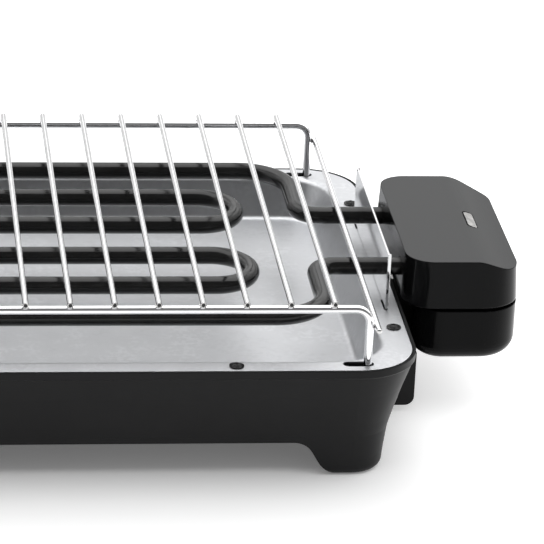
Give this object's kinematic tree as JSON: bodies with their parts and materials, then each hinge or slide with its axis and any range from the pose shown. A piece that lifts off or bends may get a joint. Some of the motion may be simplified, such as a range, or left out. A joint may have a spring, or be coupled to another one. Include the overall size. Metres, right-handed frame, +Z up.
{
  "type": "electric tabletop grill",
  "caption": "Low rectangular tabletop electric grill: steel drip tray in a footed base, looped heating element, wire rack and a control unit that lifts off one end.",
  "frame": {"origin": "on the table, at the middle of the whole footprint: the base with the control unit on it", "axes": "+Z up, +X along the length towards the control unit, +Y along the depth towards the rear long side"},
  "size_m": [0.523, 0.2296, 0.0818],
  "materials": {
    "base_plastic": "satin moulded",
    "tray_steel": "fine brushed",
    "black_screw": "black, satin",
    "rack_chrome": "polished",
    "element_sheath": "dark oxidised, matte",
    "strap_steel": "plain sheet",
    "shield_steel": "polished sheet",
    "bracket_steel": "zinc plated",
    "terminal_ceramic": "matte",
    "housing_top_plastic": "fine textured top, satin sides",
    "housing_low_plastic": "smooth satin",
    "lens_plastic": "translucent milky",
    "lamp_glass": "clear with an amber tone",
    "cutout_ceramic": "matte",
    "block_plastic": "matte",
    "switch_plastic": "matte",
    "plunger_plastic": "smooth",
    "wire_sleeve": "woven glass sleeve",
    "bush_rubber": "matte"
  },
  "bodies": {
    "base": {"base_shell": "base_plastic", "reflector_tray": "tray_steel", "tray_screws": "black_screw"},
    "control_unit": {"heating_element": "element_sheath", "element_support": "strap_steel", "heat_shield": "shield_steel", "mounting_bracket": "bracket_steel", "bracket_screws": "bracket_steel", "terminal_pins": "bracket_steel", "terminal_insulators": "terminal_ceramic", "housing_upper": "housing_top_plastic", "housing_lower": "housing_low_plastic", "housing_screws": "black_screw", "indicator_lens": "lens_plastic", "indicator_lamp": "lamp_glass", "thermal_cutout": "cutout_ceramic", "terminal_block": "block_plastic", "block_screws": "bracket_steel", "micro_switch": "switch_plastic", "lead_wires": "wire_sleeve", "cord_inlet_bush": "bush_rubber"},
    "rack": {"rack_front_wire": "rack_chrome", "rack_rear_wire": "rack_chrome", "grate_rods": "rack_chrome", "rack_side_rods": "rack_chrome"},
    "plunger": {"switch_plunger": "plunger_plastic"}
  },
  "joints": [
    {"name": "unit_lift", "type": "slide", "parent": "base", "child": "control_unit", "axis": [0, 0, 1], "range_m": [0, 0.03]},
    {"name": "rack_lift", "type": "slide", "parent": "control_unit", "child": "rack", "axis": [0, 0, 1], "range_m": [0, 0.04]},
    {"name": "plunger_slide", "type": "slide", "parent": "control_unit", "child": "plunger", "axis": [0, 0, -1], "range_m": [0, 0.0025]}
  ],
  "couplings": [
    {"joint": "plunger_slide", "follows": "unit_lift", "ratio": 0.08}
  ]
}
